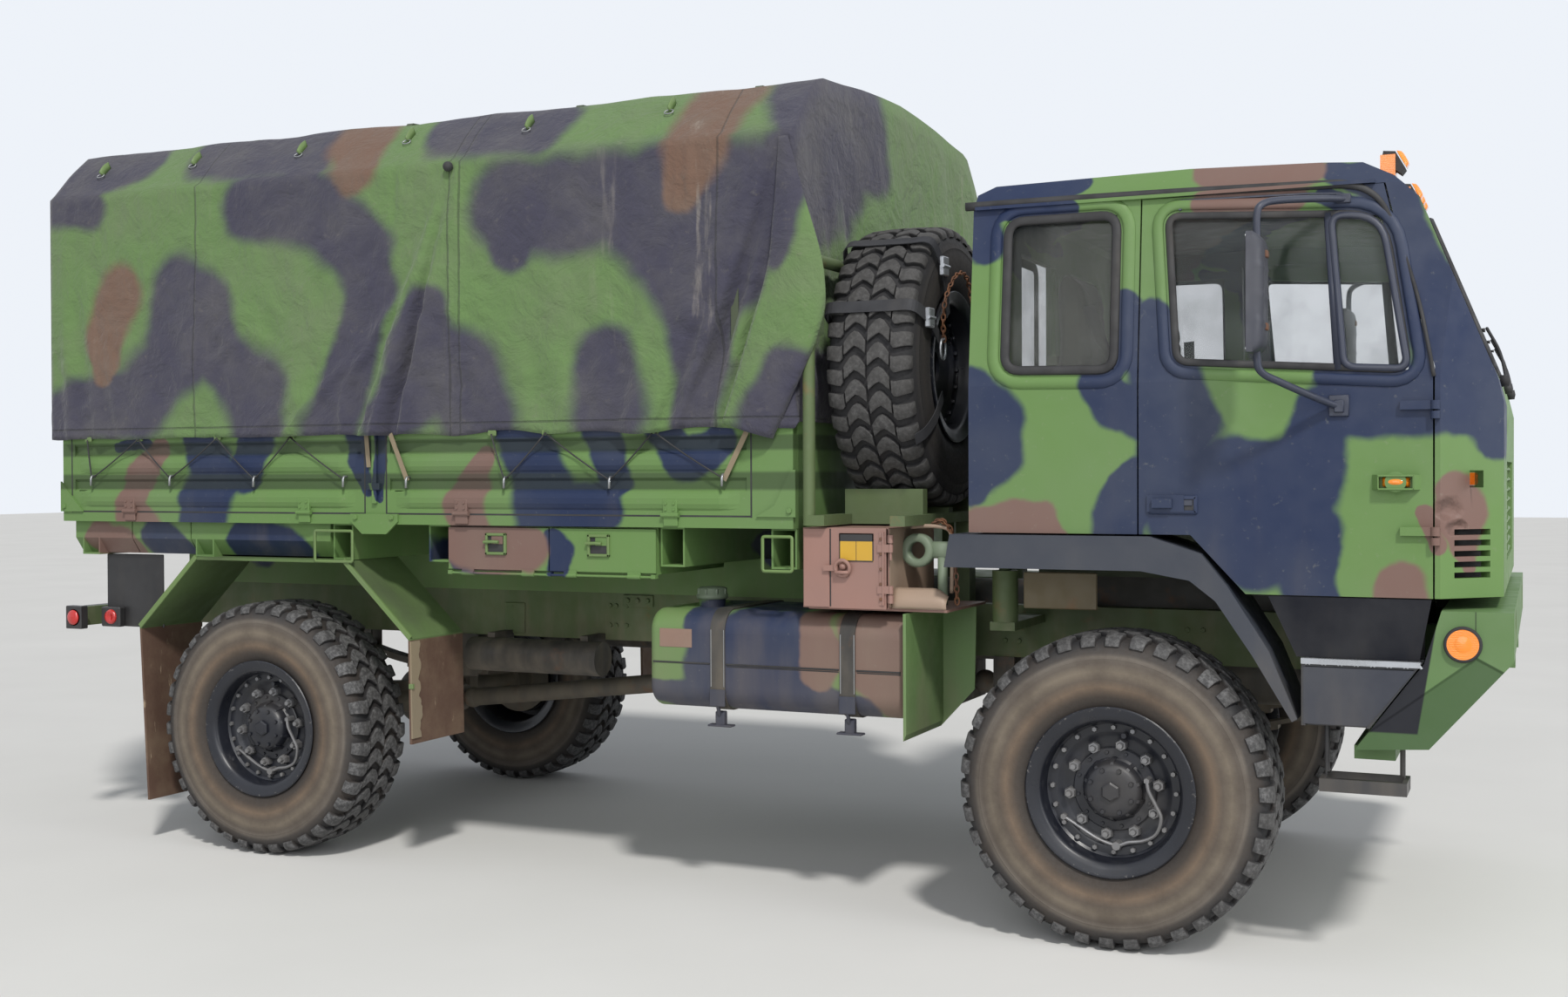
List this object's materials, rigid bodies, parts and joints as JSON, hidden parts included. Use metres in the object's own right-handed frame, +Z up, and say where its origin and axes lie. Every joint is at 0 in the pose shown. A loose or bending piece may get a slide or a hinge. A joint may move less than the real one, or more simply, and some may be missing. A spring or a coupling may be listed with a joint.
{
  "type": "military cargo truck",
  "caption": "Two-axle cargo truck with a tilting cab over the engine, steered driven front axle, drop tailgate and a canvas covered cargo bed on bows.",
  "frame": {"origin": "on the ground, under the middle of the bounding box", "axes": "+X forward along the truck, +Y to its left, +Z up"},
  "size_m": [6.5, 3.08, 3.394],
  "materials": {
    "frame_paint": "matt green paint",
    "cast_iron": "cast",
    "chassis_steel": "matt black paint",
    "tyre": "dusty rubber",
    "rim_black": "matt black paint",
    "camo_paint": "matt three-colour pattern",
    "cab_inner": "matt paint",
    "canvas": "coated canvas",
    "glass": "clear",
    "black_rubber": "matt",
    "black_steel": "matt black paint",
    "amber_lens": "lens",
    "red_lens": "lens",
    "black_plastic": "matt"
  },
  "bodies": {
    "chassis": {"frame_rails": "frame_paint", "engine": "cast_iron", "driveline": "cast_iron", "front_axle": "chassis_steel", "rear_axle": "chassis_steel", "leaf_springs": "chassis_steel", "steps": "black_steel", "front_bumper": "camo_paint", "bumper_lamps": "amber_lens", "spare_tyre": "tyre", "spare_rim": "rim_black", "spare_carrier": "frame_paint", "fuel_tank": "camo_paint", "tank_straps": "frame_paint", "equipment_box": "camo_paint", "battery_box": "frame_paint", "air_tanks": "chassis_steel", "bed_frame": "frame_paint", "cargo_bed": "camo_paint", "side_boards": "camo_paint", "stowage_box": "camo_paint", "cargo_cover": "canvas", "cover_bows": "cab_inner", "rear_mudguards": "black_rubber", "rear_hitch": "frame_paint", "tail_lamps": "red_lens"},
    "cab": {"cab_floor": "cab_inner", "cab_roof": "camo_paint", "cab_walls": "camo_paint", "cab_front": "camo_paint", "grille": "camo_paint", "cab_glass": "glass", "arch_flares": "black_rubber", "cab_lamps": "amber_lens", "seat_frames": "cab_inner", "seats": "canvas", "dashboard": "cab_inner"},
    "door_right": {"door_right": "camo_paint", "door_glass_right": "glass", "mirror_right": "black_steel"},
    "knuckle_right": {"knuckle_right": "chassis_steel"},
    "door_left": {"door_left": "camo_paint", "door_glass_left": "glass", "mirror_left": "black_steel"},
    "knuckle_left": {"knuckle_left": "chassis_steel"},
    "tie_rod": {"tie_rod": "chassis_steel"},
    "steering_wheel": {"steering_wheel": "black_plastic"},
    "wheel_front_right": {"tyre_front_right": "tyre", "rim_front_right": "rim_black"},
    "wheel_front_left": {"tyre_front_left": "tyre", "rim_front_left": "rim_black"},
    "wheel_rear_right": {"tyre_rear_right": "tyre", "rim_rear_right": "rim_black"},
    "wheel_rear_left": {"tyre_rear_left": "tyre", "rim_rear_left": "rim_black"},
    "tailgate": {"tailgate": "camo_paint"},
    "equipment_door": {"equipment_door": "camo_paint"},
    "stowage_door_rear": {"stowage_door_rear": "camo_paint"},
    "stowage_door_front": {"stowage_door_front": "camo_paint"}
  },
  "joints": [
    {"name": "steer_right", "type": "hinge", "parent": "chassis", "child": "knuckle_right", "pos_m": [1.915, -0.862, 0.575], "axis": [0, 0, 1], "range_deg": [-28, 28]},
    {"name": "steer_left", "type": "hinge", "parent": "chassis", "child": "knuckle_left", "pos_m": [1.915, 0.862, 0.575], "axis": [0, 0, 1], "range_deg": [-28, 28]},
    {"name": "tie_rod_swing", "type": "hinge", "parent": "knuckle_right", "child": "tie_rod", "pos_m": [2.135, -0.862, 0.525], "axis": [0, 0, 1], "range_deg": [-28, 28]},
    {"name": "spin_front_right", "type": "hinge", "parent": "knuckle_right", "child": "wheel_front_right", "pos_m": [1.915, -1.025, 0.575], "axis": [0, 1, 0], "continuous": true},
    {"name": "spin_rear_right", "type": "hinge", "parent": "chassis", "child": "wheel_rear_right", "pos_m": [-1.985, -1.025, 0.575], "axis": [0, 1, 0], "continuous": true},
    {"name": "spin_front_left", "type": "hinge", "parent": "knuckle_left", "child": "wheel_front_left", "pos_m": [1.915, 1.025, 0.575], "axis": [0, 1, 0], "continuous": true},
    {"name": "spin_rear_left", "type": "hinge", "parent": "chassis", "child": "wheel_rear_left", "pos_m": [-1.985, 1.025, 0.575], "axis": [0, 1, 0], "continuous": true},
    {"name": "cab_tilt", "type": "hinge", "parent": "chassis", "child": "cab", "pos_m": [3.185, 0, 1.282], "axis": [0, 1, 0], "range_deg": [0, 55]},
    {"name": "steering_wheel_turn", "type": "hinge", "parent": "cab", "child": "steering_wheel", "pos_m": [2.787, 0.64, 1.96], "axis": [-0.8857, 0, 0.4643], "range_deg": [-448, 448]},
    {"name": "door_right_swing", "type": "hinge", "parent": "cab", "child": "door_right", "pos_m": [3.01, -1.215, 1.5], "axis": [0, 0, 1], "range_deg": [0, 75]},
    {"name": "door_left_swing", "type": "hinge", "parent": "cab", "child": "door_left", "pos_m": [3.01, 1.215, 1.5], "axis": [0, 0, -1], "range_deg": [0, 75]},
    {"name": "tailgate_drop", "type": "hinge", "parent": "chassis", "child": "tailgate", "pos_m": [-3.202, 0, 1.552], "axis": [0, -1, 0], "range_deg": [0, 170]},
    {"name": "equipment_door_swing", "type": "hinge", "parent": "chassis", "child": "equipment_door", "pos_m": [1.072, -1.172, 1.3], "axis": [0, 0, 1], "range_deg": [0, 110]},
    {"name": "stowage_door_rear_drop", "type": "hinge", "parent": "chassis", "child": "stowage_door_rear", "pos_m": [-0.445, -1.181, 1.307], "axis": [1, 0, 0], "range_deg": [0, 100]},
    {"name": "stowage_door_front_drop", "type": "hinge", "parent": "chassis", "child": "stowage_door_front", "pos_m": [-0.445, -1.181, 1.307], "axis": [1, 0, 0], "range_deg": [0, 100]}
  ],
  "couplings": [
    {"joint": "steer_left", "follows": "steer_right", "ratio": 1},
    {"joint": "tie_rod_swing", "follows": "steer_right", "ratio": -1},
    {"joint": "steering_wheel_turn", "follows": "steer_right", "ratio": 16}
  ]
}
